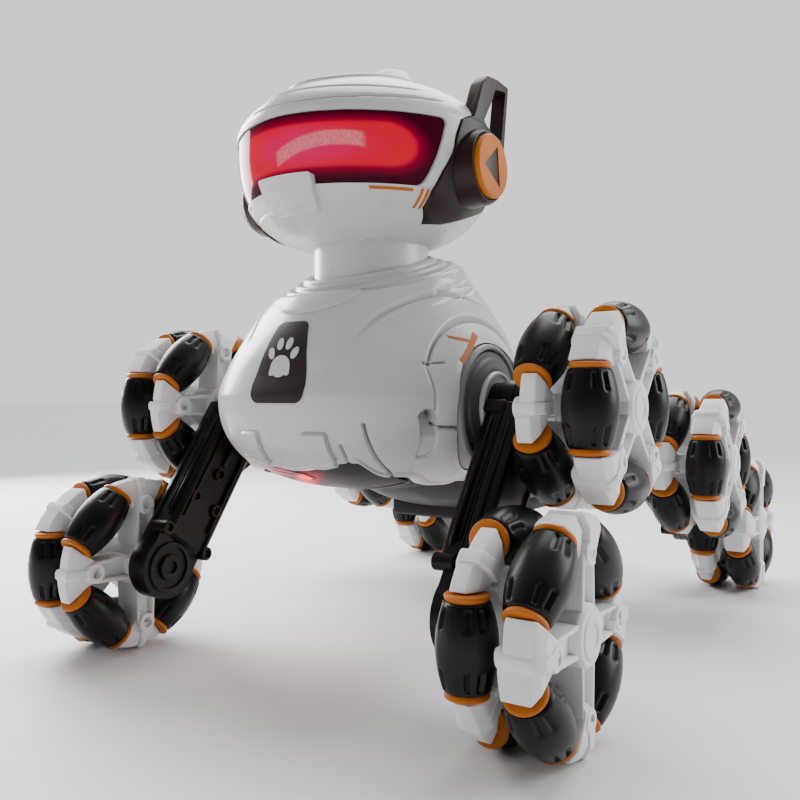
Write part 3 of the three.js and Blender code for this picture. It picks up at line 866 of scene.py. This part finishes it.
def visor_block(inset):
    """The visor's window as seen from the side: slanted ends with rounded corners."""
    back = node_box("visor_lens")[1].y - inset
    outline = [(-200, VISOR_LOW + inset), (back - 5, VISOR_LOW + inset), (back, VISOR_HIGH - inset),
               (-200, VISOR_HIGH - inset)]
    return bevelled(prism("visor_block", outline, -80, 80), 2.4, 5, 40)


def build_head():
    """The helmet with the visor's window, the jaw below it and the lens set into the window."""
    helmet_low = math.degrees(HEAD.climb_at(np.float64(VISOR_LOW + 0.06)))
    jaw_high = math.degrees(HEAD.climb_at(np.float64(VISOR_LOW - 0.06)))
    core = shell("core", HEAD, helmet_low - 11.46, 80, 80, 260, grow=-2.2)
    window = patch(visor_block(0), shell("big", HEAD, -80, 80, 60, 200, grow=6), core)
    helmet = shell("head_helmet", HEAD, helmet_low, 89, 190, 520, head_relief)
    finished(cut(helmet, window, *ear_pockets()), WHITE, "head", "head_shell", angle=40)
    jaw = shell("head_jaw", HEAD, -86, jaw_high, 120, 420, head_relief)
    finished(cut(jaw, *ear_pockets()), WHITE, "head", "jaw_shell", angle=40)
    lens = shell("head_visor", HEAD, -60, 30, 110, 520, grow=-0.7)
    back = shell("core", HEAD, -62, 34, 70, 260, grow=-2.0)
    finished(patch(lens, visor_block(0.25), back), VISOR, "head", "visor_lens", "light_panel", angle=40)


def build_nose():
    low, high = node_box("nose_plate")
    half, top, bottom = high.x - 0.7, high.z - 0.4, low.z - 0.9
    outline = [(-half, top), (-half + 0.9, bottom + 1.4), (-half + 2.2, bottom), (half - 3.2, bottom),
               (half - 1.9, bottom + 1.4), (half, top)]
    plate = patch(shell("head_nose", HEAD, -70, 20, 90, 420, grow=1.5),
                  bevelled(prism("block", outline, -180, -110, "y"), 1.4, 4, 30),
                  shell("core", HEAD, -72, 22, 60, 200, grow=-0.9))
    finished(bevelled(plate, 0.35, 2, 50), WHITE, "head", "nose_plate", slot="wheel_white", angle=35)


def build_crest():
    """A tapered ridge on the crown."""
    side_line = [(-98, 228), (-77, 242.4), (-74, 243.2), (-64, 245.6), (-61, 245), (-50, 237.6), (-43, 224),
                 (-52, 212), (-90, 212)]
    rings = []
    for x, drop in ((-9, 9), (-5.5, 1.2), (-4.5, 0), (4.5, 0), (5.5, 1.2), (9, 9)):
        rings.append([(x, y, z - drop * max(0, z - 224) / 22) for y, z in side_line])
    finished(bevelled(loft("head_crest", rings), 0.9, 3, 20), WHITE, "head", "head_shell")


EAR_PLATE = np.array([(-92, 209), (-98.2, 206), (-100.4, 200), (-101.2, 194), (-104, 186.5), (-105, 180.3),
                      (-104, 175), (-98, 170.5), (-90, 171.3), (-83, 173.6), (-68, 179), (-69, 205)])
EAR_LOOP = [(-92, 200), (-91.8, 208.2), (-84.8, 223.7), (-79.9, 228.1), (-71.6, 229), (-62.5, 228.4),
            (-66.4, 202), (-73, 193)]
EAR_LOOP_HOLE = [(-83.6, 209.6), (-76.4, 220), (-74.6, 224), (-65.8, 225.6), (-69.3, 205.5), (-79.5, 206.8)]


def ear_plate(side):
    """The brown panel in front of and under the drum, following the head's skin a little proud of it."""
    plate = patch(shell("plate", HEAD, -72, 55, 120, 420, grow=0.9),
                  bevelled(prism("outline", EAR_PLATE, side * 25, side * 80), 1.2, 4, 20),
                  shell("core", HEAD, -74, 57, 80, 260, grow=-2.8))
    return bevelled(plate, 0.35, 2, 50)


def build_ears():
    """Each ear's drum, loop and plate in one pod, and an orange disc with a dark arrow let into it."""
    drum_line = softened([(44, 0.5), (44, 14.4), (50, 14.4), (55.2, 13.9), (57, 12.9), (57, 12.2), (56.4, 12.0),
                          (56.4, 0.5)], 0.6)
    disc_line = softened([(56.45, 0.5), (56.45, 11.8), (58.5, 11.8), (59.1, 11.0), (59.1, 0.5)], 0.4)
    for hand, side in HANDS.items():
        low, high = node_box(f"ear_disc_{hand}")
        y, z = (low.y + high.y) / 2, (low.z + high.z) / 2
        spot, mirror = shift(0, y, z), mirror_for(side)

        loop = bevelled(prism("loop", EAR_LOOP, 47.6, 53.4), 1.0, 3, 25)
        cut(loop, bevelled(prism("hole", EAR_LOOP_HOLE, 40, 62), 0.7, 3, 60))
        pod = placed(joined(placed(lathe(f"ear_pod_{hand}", drum_line, 96), spot), loop), mirror)
        finished(joined(pod, ear_plate(side)), BROWN, "head", f"ear_{hand}", angle=35)

        arrow = np.array([(y - 7.6, z - 0.8), (y + 4.8, z - 7.4), (y + 2.8, z + 7.8)])
        disc = cut(placed(lathe(f"ear_face_{hand}", disc_line, 96), spot), prism("hole", arrow, 58.4, 62))
        finished(placed(disc, mirror), ORANGE, "head", f"ear_disc_{hand}", angle=35)
        inset = bevelled(prism(f"ear_arrow_{hand}", arrow + ((y, z) - arrow) * 0.04, 58.2, 58.8), 0.2, 2, 30)
        finished(placed(inset, mirror), BROWN, "head")


def build_stripes():
    """Orange trim below the visor: a long bar and two slanted ones on each side."""
    bar = np.array([(28.4, 180.1), (39.6, 180.1), (39.2, 179.1), (28.4, 179.1)])
    slant = np.array([(-106.9, 180.4), (-106.0, 180.4), (-104.6, 174.2), (-105.5, 174.2)])
    for hand, side in HANDS.items():
        blocks = [prism("bar", bar * (side, 1), -180, -90, "y")]
        blocks += [prism("slant", slant - (offset, 0), side * 28, side * 60) for offset in (0, 1.9)]
        stripe = patch(shell(f"head_stripe_{hand}", HEAD, -70, 20, 140, 520, grow=0.12), merged("blocks", blocks),
                       shell("core", HEAD, -72, 22, 60, 260, grow=-0.6))
        finished(stripe, ORANGE, "head")


def build_neck():
    low, high = node_box("neck_post")
    profile = [(low.z, 17), (low.z, NECK_RADIUS - 0.8), (low.z + 0.8, NECK_RADIUS), (high.z - 8, NECK_RADIUS),
               (high.z, NECK_RADIUS), (high.z, 17)]
    place, stand = upright(0)
    finished(placed(lathe("neck_sleeve", profile, 128), place @ stand), WHITE, "head", "neck_post")


# ---- arms ----

def arm_outline(inset):
    """The arm's outline along +Y, drawn in by inset: round hip, square shoulders, straight sides, round end."""
    hip, half, end = 10 - inset, 12.2 - inset, 13 - inset
    hip_turn = math.acos(min(0.95, ARM_SHOULDER / hip))
    end_turn = math.pi - math.asin(half / end)
    back = np.linspace(hip_turn, 2 * math.pi - hip_turn, 22)
    ahead = np.linspace(-end_turn, end_turn, 22)
    start = np.stack([hip * np.cos(back), hip * np.sin(back)], 1)
    finish = np.stack([ARM_LENGTH + end * np.cos(ahead), end * np.sin(ahead)], 1)
    near, far = ARM_SHOULDER + 0.25 * inset, ARM_SHOULDER + 1 + 0.25 * inset
    return np.vstack([start, [(near, -half + 1), (far, -half)], finish, [(far, half), (near, half - 1)]])


def arm_rings(stations):
    return [[(x, along, across) for along, across in arm_outline(inset)] for x, inset in stations]


def boss(name, x0, x1, radius, hole, along, across=0.0, depth=1.2, sides=40):
    """A round boss standing on X with a recess in its far face."""
    sign = 1 if x1 > x0 else -1
    line = [(x0, 0.5), (x0, radius), (x1 - sign * 0.4, radius), (x1, radius - 0.4), (x1, hole + 0.2),
            (x1 - sign * depth, hole), (x1 - sign * depth, 0.5)]
    return placed(lathe(name, line[::sign], sides), shift(0, along, across))


def rail(x, across, low, high, radius=0.85):
    """A rounded ridge along the arm's side."""
    ends = ((low, 0.3), (low + 1.5, 1), (high - 1.5, 1), (high, 0.3))
    return loft("rail", [[(x + 1.2 * r * c, along, across + r * s) for c, s in circle(radius, 16)]
                         for along, r in ends])


def build_arm_shapes():
    """The arm's two halves as they lie along +Y on the left side."""
    housing = loft("housing", arm_rings([(63.9, 4.4), (63.9, 3.4), (62.7, 2.8), (62.6, 2.0), (63.2, 0.9),
                                         (64.4, 0.2), (66, 0), (70.4, 0)]))
    thin_end = [(58, 66.6), (62.6, 67), (66.4, 69.6), (66.4, 110), (58, 110)]
    cut(housing, bevelled(prism("thin_end", thin_end, -30, 30, "z"), 0.5))
    collar = loft("collar", [[(x, along, -w), (x, along, w), (70.3, along, w), (70.3, along, -w)]
                             for along, x, w in ((5, 62.2, 12.6), (9.5, 62.2, 12.8))])
    parts = [bevelled(collar, 0.6, 3), boss("hip_boss", 65, 62.3, 8.8, 5.0, 0),
             boss("hip_post", 64, 58.4, 9, 4.2, 0, depth=1), boss("end_boss", 68, 65.4, 10.4, 8.4, ARM_LENGTH),
             boss("end_hub", 68, 64.8, 5.4, 2.4, ARM_LENGTH)]
    for along, across in ((17, 0), (50, 6.8), (50, -6.8), (36, 0)):
        parts.append(boss("screw_boss", 65, 62.2, 2.7, 1.5, along, across, 1.4, 28))
    for side in (-1, 1):
        lug = boss("lug", 70.2, 62.4, 2.9, 1.5, 67.5, side * 12.2, 1.2, 28)
        rib = prism("rib", [(13, side * 8.6), (60, side * 8.6), (60, side * 7.7), (13, side * 7.7)], 62.1, 65)
        parts += [lug, rail(66.6, side * 12.3, 12, 62), rail(69.0, side * 12.1, 24, 60, 0.6), bevelled(rib, 0.3)]
    spine = prism("spine", [(21, -1.0), (32, -1.0), (32, 1.0), (21, 1.0)], 62.2, 65)
    joined(housing, *parts, bevelled(spine, 0.4))
    cover = loft("cover", arm_rings([(70.75, 0.8), (70.75, 0.1), (75.6, 0.1), (76.8, 0.8), (77.4, 2.0),
                                     (77.4, 3.0), (76.4, 3.6), (76.4, 4.6)]))
    joined(cover, boss("end_cap", 75, 77.4, 9, 5.5, ARM_LENGTH), boss("hip_cap", 75, 77.4, 6.8, 4, 0),
           rail(73.4, 12.1, 14, 66), rail(73.4, -12.1, 14, 66))
    return {"housing": housing, "cover": cover}


def build_arms():
    shapes = build_arm_shapes()
    for end, hand, side in LIMBS:
        hip = joint_place(f"{end}_{hand}_arm_swing")
        foot = joint_place(f"{end}_{hand}_lower_spin")
        angle = math.degrees(math.atan2(foot.z - hip.z, foot.y - hip.y))
        flip = Matrix.Scale(-1 if end == "front" else 1, 4, (0, 0, 1))
        aim = mirror_for(side) @ shift(0, hip.y, hip.z) @ turn(angle, "X") @ flip
        for half, shape in shapes.items():
            piece = placed(copied(shape), aim)
            piece.name = f"arm_{half}_shell_{end}_{hand}"
            finished(piece, BLACK, f"{end}_{hand}_arm", f"arm_{half}_{end}_{hand}")
    for shape in shapes.values():
        bpy.data.objects.remove(shape)


# ---- wheels: built about the axle, X outwards ----

def roller_radius(along):
    return np.sqrt(WHEEL_RADIUS ** 2 - along ** 2) - RING_RADIUS


def tread():
    """One black barrel along Z, with pairs of oval pockets near both ends."""
    half, sides, rows, edge = 12.0, 80, 49, 0.5
    along = np.linspace(-half, half, rows)
    angles = np.linspace(0, 2 * math.pi, sides, endpoint=False)
    radius = roller_radius(along)[:, None] + 0 * angles
    for at in np.radians([45 + pair * 90 + offset for pair in range(4) for offset in (-14, 14)]):
        gap = (angles - at + math.pi) % (2 * math.pi) - math.pi
        across = gap[None, :] * radius
        for middle in (-8.3, 8.3):
            run = np.maximum(np.abs(along[:, None] - middle) - 2.3, 0)
            radius = radius - 0.9 * (1 - rise(np.hypot(across, run), 0.35, 1.0))
    radius = np.vstack([radius[:1] - edge, radius[:-1], radius[-1:] - edge, radius[-1:]])
    along = np.concatenate([[-half - edge], along[:-1], [half + edge, half]])
    return loft("tread", [np.stack([r * np.cos(angles), r * np.sin(angles), np.full(sides, s)], 1)
                          for r, s in zip(radius, along)])


def washer():
    """One orange end ring along Z, at the roller's lower end."""
    line = softened([(0, 2.0), (0, 6.0), (0.5, 6.6), (1.3, 6.5), (2.3, 5.9), (2.3, 2.0)], 0.3)
    piece = lathe("washer", line, 40)
    return placed(piece, shift(0, 0, -14.6) @ turn(-90, "Y"))


def roller_row(name, make):
    """Four rollers round the axle, the first towards -Y."""
    return merged(name, [placed(piece, turn(90 * i, "X") @ shift(0, -RING_RADIUS, 0))
                         for i in range(4) for piece in make()])


def washer_pair():
    return [placed(washer(), turn(180 * end, "X")) for end in (0, 1)]


def bracket(tread_half, full_half):
    """One white bracket towards -Y: a chamfered tread block with a raised band, ears and a shadow groove."""
    near = ROLLER_LENGTH / 2 + 0.8
    fold = near * math.sqrt(2)
    edge = full_half - 0.8
    rings = []
    for x, drop in ((-full_half, 3.8), (-edge, 2.2), (-tread_half, 0), (tread_half, 0), (edge, 2.2),
                    (full_half, 3.8)):
        reach = BRACKET_RADIUS - drop
        half = math.pi / 4 - math.asin(min(near / reach, 1))
        arc = [(x, -reach * math.cos(a), reach * math.sin(a)) for a in np.linspace(-half, half, 9)]
        rings.append([(x, -fold + 1.5, -4), (x, -fold - 1, -4), *arc, (x, -fold - 1, 4), (x, -fold + 1.5, 4)])
    block = bevelled(loft("block", rings), 0.5, 3, 25)
    other = copied(block)
    for half, side in ((block, 1), (other, -1)):
        kept_inside(half, prism("half", [(-50, 0), (-10, 0), (-10, side * 30), (-50, side * 30)], -12, 12))
        placed(half, shift(side * STEP_OFFSET, 0, 0))
    groove_floor = -BRACKET_RADIUS + 0.9
    step = prism("step", [(-40, 1.8), (groove_floor, 1.8), (groove_floor, 2.9), (-40, 3.5)], -9, 9)
    cut(joined(block, other), step)
    rings = []
    ear, band_half = full_half + STEP_OFFSET + 0.5, tread_half + 1.0
    for x, drop in ((-ear, 5.0), (-ear, 3.0), (-band_half, -0.75), (band_half, -0.75), (ear, 3.0), (ear, 5.0)):
        top = BRACKET_RADIUS - drop
        rings.append([(x, -25, -2.0), (x, -top + 0.7, -2.0), (x, -top, -1.0), (x, -top, 1.0),
                      (x, -top + 0.7, 2.0), (x, -25, 2.0)])
    return joined(block, bevelled(loft("band", rings), 0.35, 2, 25))


def spoke():
    """Double ribs with a channel between them, from the hub to a bracket towards -Y, on the row's outer face."""
    parts = [prism("web", [(0, -5.4), (-24, -4.2), (-24, 4.2), (0, 5.4)], -5.5, 4.2)]
    for side in (-1, 1):
        rail = prism("rail", [(-6, side * 5.0), (-25, side * 4.2), (-25, side * 2.9), (-6, side * 3.4)], -6, 6.6)
        parts.append(bevelled(rail, 0.3, 1))
    line = [(3, 0.5), (3, 4.0), (7.3, 3.8), (7.6, 3.5), (7.6, 2.2), (4.6, 1.9), (4.6, 0.5)]
    return parts + [placed(lathe("boss", line, 32), shift(0, -24.6, 0))]


def frame_row(tread_half, full_half):
    """Four brackets and spokes round the axle, the first bracket halfway between two rollers."""
    parts = [placed(piece, turn(45 + 90 * i, "X"))
             for i in range(4) for piece in [bracket(tread_half, full_half), *spoke()]]
    hub = lathe("hub", softened([(-7, 0.5), (-7, 9.5), (6.2, 9.5), (7.6, 8.4), (7.6, 0.5)], 0.6), 48)
    room_line = [(-14.9, 5), (-12.5, 7.7), (-6, 9.4), (0, 9.9), (6, 9.4), (12.5, 7.7), (14.9, 5)]
    rooms = [placed(lathe("room", room_line, 32), turn(90 * i, "X") @ shift(0, -RING_RADIUS, 0) @ turn(90, "Y"))
             for i in range(4)]
    return cut(joined(hub, *parts), *rooms)


def build_wheel_shapes():
    outer = placed(frame_row(4.4, 6.4), shift(ROW_OFFSET, 0, 0))
    inner = placed(frame_row(2.5, 4.4), shift(-ROW_OFFSET, 0, 0) @ turn(45, "X") @ turn(180, "Y"))
    cap = [(10, 0.5), (10, 7.4), (17.0, 7.0), (17.5, 6.4), (17.5, 3.8), (16.2, 3.4), (16.2, 0.5)]
    axle = [(-26.7, 0.5), (-26.7, 3.4), (-19, 3.4), (-17.5, 5.5), (-17.5, 7.6), (-10, 8), (-10, 0.5)]
    whole = joined(outer, inner, lathe("cap", softened(cap, 0.4), 48), lathe("axle", softened(axle, 0.3), 48))
    return whole, roller_row("treads", lambda: [tread()]), roller_row("washers", washer_pair)


def turned_meshes(shape, look, angle):
    """The shape's mesh as it is and an eighth of a turn round the axle, both smooth and finished."""
    shape.data.materials.append(look.material)
    eighth = placed(copied(smooth(shape, angle)), turn(45, "X"))
    meshes = {0: shape.data, 45: eighth.data}
    for piece in (shape, eighth):
        bpy.data.objects.remove(piece)
    return meshes


def instance(mesh, name, aim, key, node):
    """A piece that shares its mesh with other wheels, placed on its own wheel."""
    piece = bpy.data.objects.new(name, mesh)
    bpy.context.scene.collection.objects.link(piece)
    scale = Matrix.Scale(MM, 4)
    piece.matrix_world = scale @ aim @ scale.inverted()
    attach(piece, f"{key}_wheel")
    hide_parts(node)


def build_wheels():
    star, treads, washers = build_wheel_shapes()
    star = turned_meshes(star, WHEEL_WHITE, 30)
    treads = turned_meshes(treads, ROLLER_BLACK, 45)
    washers = turned_meshes(washers, ORANGE, 35)
    rows = {"outer": (ROW_OFFSET, 0), "inner": (-ROW_OFFSET, 45)}
    for end, hand, side in LIMBS:
        for place in ("upper", "lower"):
            key = f"{end}_{hand}_{place}"
            phase = 45 if (place, hand) == ("lower", "left") else 0
            aim = shift(*joint_place(f"{key}_spin")) @ turn(0 if side > 0 else 180, "Z")
            instance(star[phase], f"wheel_star_{key}", aim, key, f"wheel_frame_{key}")
            for row, (x, angle) in rows.items():
                spot = aim @ shift(x, 0, 0)
                angle = (angle + phase) % 90
                node = f"{row}_rollers_{key}"
                instance(treads[angle], f"{row}_treads_{key}", spot, key, node)
                instance(washers[angle], f"{row}_washers_{key}", spot, key, node)


# ---- CAD parts that stay: inside and underneath ----

def dress_kept_nodes():
    looks = {"front_gearbox": BLACK, "rear_gearbox": BLACK, "battery_pack": DARK_GREY, "battery_door": DARK_GREY,
             "battery_door_screw": STEEL, "main_board": BOARD, "speaker": BLACK, "power_switch": BLACK,
             "neck_bearing": DISC_GREY}
    for name, look in looks.items():
        mesh = frame["nodes"][name].data
        mesh.materials.clear()
        mesh.materials.append(look.material)


# ---- stage ----

def studio_white():
    g = Finish("studio_white")
    soft = g.noise(3, 2)
    g.set(Base_Color=g.mix(soft, (0.72, 0.72, 0.72, 1), (0.75, 0.75, 0.75, 1)), Roughness=g.varied(soft, 0.6, 0.7))
    return g.material


def build_floor():
    reach = 30000
    edge = [(-reach, -reach, 0), (reach, -reach, 0), (reach, reach, 0), (-reach, reach, 0)]
    floor = mesh_object("floor", edge, [(0, 1, 2, 3)])
    floor.data.materials.append(studio_white())


BACKDROP_STRENGTH = 1.15
BRIGHT_SIDE = (-0.4, 0.75, 0.5)
SKY_TILT = (math.radians(-31), math.radians(-12), 0)
CAMERA_PLACE = (199.79, -360.48, 104.31)
CAMERA_HEADING = math.radians(33.68)
CAMERA_LENS = 37.23
SENSOR_WIDTH = 36


def lamp_object(name, kind, **settings):
    light = bpy.data.lights.new(name, kind)
    for key, value in settings.items():
        setattr(light, key, value)
    lamp = bpy.data.objects.new(name, light)
    bpy.context.scene.collection.objects.link(lamp)
    return lamp


def softbox(name, place, target, size, watts, glossy=True):
    wide, high = size
    lamp = lamp_object(name, "AREA", shape="RECTANGLE", size=wide * MM, size_y=high * MM, energy=watts)
    lamp.visible_glossy = glossy
    lamp.location = Vector(place) * MM
    lamp.rotation_mode = "QUATERNION"
    lamp.rotation_quaternion = (Vector(target) - Vector(place)).to_track_quat("-Z", "Y")


def build_world():
    """A pale surround that lights the dog from behind and leaves its front dimmer, as in the photograph."""
    world = bpy.data.worlds.new("studio")
    world.use_nodes = True
    g = Graph(world.node_tree)
    facing = g.add("ShaderNodeVectorMath", {0: g.places["Generated"], 1: BRIGHT_SIDE}, operation="DOT_PRODUCT")
    lit = g.nodes["Background"]
    g.feed(lit.inputs["Color"], (0.97, 0.98, 1.0, 1))
    g.feed(lit.inputs["Strength"], g.mapped(facing.outputs["Value"], -0.5, 0.75, 0.06, 0.62, smooth=True))
    seen = g.add("ShaderNodeBackground", {"Color": (1, 1, 1, 1), "Strength": BACKDROP_STRENGTH})
    choice = g.add("ShaderNodeMixShader", {0: g.add("ShaderNodeLightPath").outputs["Is Camera Ray"],
                                           1: lit.outputs[0], 2: seen.outputs[0]})
    g.feed(g.nodes["World Output"].inputs["Surface"], choice.outputs[0])
    bpy.context.scene.world = world


def build_lights():
    middle = (0, -50, 120)
    softbox("rim_right", (640, 340, 430), middle, (420, 560), 5.5)
    softbox("rim_left", (-740, 90, 430), middle, (420, 560), 14)
    softbox("fill_front", (-420, -800, 520), middle, (500, 400), 2.5, glossy=False)
    sky = lamp_object("sky", "SUN", energy=3.5, angle=math.radians(50))
    sky.rotation_euler = SKY_TILT
    low, high = node_box("chest_light_lens")
    glow = lamp_object("chest_glow", "POINT", energy=0.022, color=(1.0, 0.02, 0.03), shadow_soft_size=5 * MM)
    glow.location = Vector((low.x + 8, high.y - 2, low.z - 11)) * MM


def build_camera():
    camera = bpy.data.cameras.new("photo_camera")
    camera.sensor_width = SENSOR_WIDTH
    camera.lens = CAMERA_LENS
    eye = bpy.data.objects.new("photo_camera", camera)
    bpy.context.scene.collection.objects.link(eye)
    eye.location = Vector(CAMERA_PLACE) * MM
    eye.rotation_euler = (math.radians(90), 0, CAMERA_HEADING)
    bpy.context.scene.camera = eye


hip, foot = joint_place("front_left_arm_swing"), joint_place("front_left_lower_spin")
ARM_LENGTH = math.hypot(foot.y - hip.y, foot.z - hip.z)

for build in (build_chest, build_belly, build_chest_light, build_back, build_haunches, build_collar, build_badge,
              build_hip_discs, build_marks, build_head, build_nose, build_crest, build_ears, build_stripes,
              build_neck, build_arms, build_wheels, dress_kept_nodes, build_floor, build_world, build_lights,
              build_camera):
    build()
